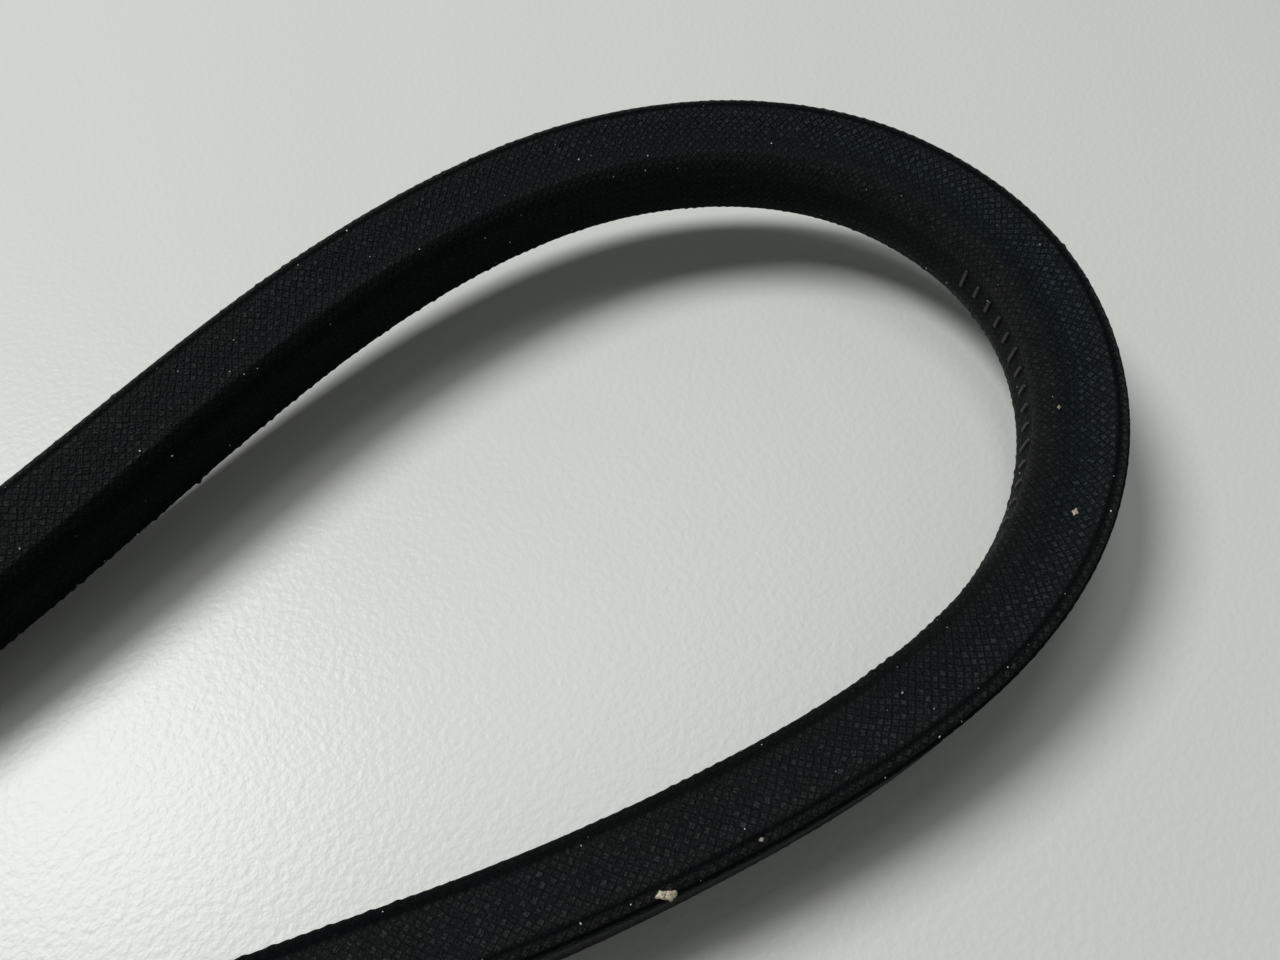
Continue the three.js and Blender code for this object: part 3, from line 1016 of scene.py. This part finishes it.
# %% [markdown]
# ### Cords and the inner cloth
# The cords are twisted yarn dipped in a red-brown glue. A Wave texture with some distortion
# stands for the yarns. The inner ply is the same cloth as the cover, but it has no map of its
# own, so its threads are laid out from the place itself, in millimetres.

# %% Dipped cord
DIP_BROWN, YARN_CREAM = (0.10, 0.045, 0.022, 1), (0.42, 0.30, 0.19, 1)
cord_yarn, tree, shader, place = new_finish("dipped cord")
look = use_group(tree, uneven, Place=place, Patch_Size=1400.0)
strands = tree.nodes.new("ShaderNodeTexWave")
feed(tree, strands.inputs["Vector"], place)
strands.inputs["Scale"].default_value = 900.0
strands.inputs["Distortion"].default_value = 1.5
yarn_share = times(tree, strands.outputs["Fac"], look["Mottle"])
tree.links.new(blend_colours(tree, yarn_share, DIP_BROWN, YARN_CREAM),
               shader.inputs["Base Color"])
shader.inputs["Roughness"].default_value = 0.55
add_relief(tree, shader, strands.outputs["Fac"], THREAD_DEPTH)

# %% Inner ply cloth
CLEAN_GAP, CLEAN_CROWN = (0.004, 0.004, 0.004, 1), (0.030, 0.028, 0.026, 1)
inner_cloth, tree, shader, place = new_finish("inner ply cloth")
in_mm = tree.nodes.new("ShaderNodeMapping")
in_mm.inputs["Scale"].default_value = (1000, 1000, 1000)
feed(tree, in_mm.inputs["Vector"], place)
look = use_group(tree, uneven, Place=place)
weave = use_group(tree, threads, Cloth=in_mm.outputs[0], Waver=look["Patch"])
tree.links.new(blend_colours(tree, weave["Crown"], CLEAN_GAP, CLEAN_CROWN),
               shader.inputs["Base Color"])
tree.links.new(reckon(tree, "MULTIPLY_ADD", look["Grain"], 0.3, 0.5), shader.inputs["Roughness"])
add_relief(tree, shader, weave["Height"], THREAD_DEPTH)


# %% Dress the layers inside
def dress(node, material):
    """Gives a CAD solid this material in place of its plain one."""
    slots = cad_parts[node].data.materials
    slots.clear()
    slots.append(material)
    print(node, "has the finish", material.name)


for node, material in {
    "inner_cover_ply": inner_cloth,
    "tension_rubber": base_rubber,
    "compression_rubber": base_rubber,
    "upper_adhesion_gum": gum_rubber,
    "lower_adhesion_gum": gum_rubber,
    "tensile_cord_s_twist": cord_yarn,
    "tensile_cord_z_twist": cord_yarn,
}.items():
    dress(node, material)

# %% [markdown]
# ## Camera
# The camera looks down on the near end of the belt from a little over 90 mm above the surface,
# through a fairly wide lens. It could be aimed with a Track To constraint. Its place and three
# turns are given instead, because a constraint leaves no say over the small roll.

# %% Camera
CAMERA_PLACE = (82.091, -44.904, 93.337)
CAMERA_HEADING = -33.442      # degrees
CAMERA_DIP = 58.963           # degrees below level
CAMERA_ROLL = -1.0
camera_data = bpy.data.cameras.new("camera")
camera = bpy.data.objects.new("camera", camera_data)
bpy.context.scene.collection.objects.link(camera)
camera_data.sensor_width = 36
camera_data.lens = 27.8525
camera_data.clip_start = 0.005
camera.matrix_world = (
    Matrix.Translation([value * MM for value in CAMERA_PLACE])
    @ Matrix.Rotation(math.radians(CAMERA_HEADING), 4, "Z")
    @ Matrix.Rotation(math.radians(90 - CAMERA_DIP), 4, "X")
    @ Matrix.Rotation(math.radians(CAMERA_ROLL), 4, "Z")
)
bpy.context.scene.camera = camera
print("camera at", CAMERA_PLACE, "mm")

# %% [markdown]
# ## Surface, lights and room
# The belt lies on a white laminated surface with a fine orange-peel grain that only shows where
# light glances off it. A strong lamp stands high on the left and makes the clear shadows. A weak
# one hangs nearly overhead, and the room gives a little light from all round. A sky texture could
# light the belt too, but round lamps give shadows whose softness is easy to choose.

# %% Surface
bpy.ops.object.select_all(action="DESELECT")
bpy.ops.mesh.primitive_plane_add(size=4, location=(0, 0, 0))
floor = bpy.context.object
floor.name = "surface"
laminate, tree, shader, place = new_finish("white laminate")
shader.inputs["Base Color"].default_value = (0.715, 0.728, 0.711, 1)
shader.inputs["Roughness"].default_value = 0.36
shader.inputs["Specular IOR Level"].default_value = 0.42
add_relief(tree, shader, cloud(tree, place, 1300.0, 2.0, 0.5), 0.12 * MM, 0.5)
floor.data.materials.append(laminate)

# %% Lights
LAMPS_AIM = Vector((0.1, 0, 0))      # the near half of the belt
LAMP_COLOUR = (1, 1, 0.985)


def add_lamp(name, travel, distance, size, power):
    """A round lamp whose light travels in this direction onto the near half of the belt."""
    toward = Vector(travel).normalized()
    data = bpy.data.lights.new(name, "AREA")
    data.shape = "DISK"
    data.size = size
    data.energy = power
    data.color = LAMP_COLOUR
    lamp = bpy.data.objects.new(name, data)
    bpy.context.scene.collection.objects.link(lamp)
    lamp.location = LAMPS_AIM - toward * distance
    lamp.rotation_euler = toward.to_track_quat("-Z", "Y").to_euler()
    print(name + ":", power, "W, at", tuple(round(value, 2) for value in lamp.location))


add_lamp("high left lamp", (0.38, -0.53, -1), 1.15, 0.44, 9.3)
add_lamp("overhead lamp", (-0.12, -0.28, -1), 1.1, 0.40, 1.6)

# %% Room
world = bpy.data.worlds.new("room")
world.use_nodes = True
room_light = world.node_tree.nodes["Background"]
room_light.inputs["Color"].default_value = (0.97, 1, 0.96, 1)
room_light.inputs["Strength"].default_value = 0.15
bpy.context.scene.world = world
bpy.context.scene.view_settings.view_transform = "Standard"
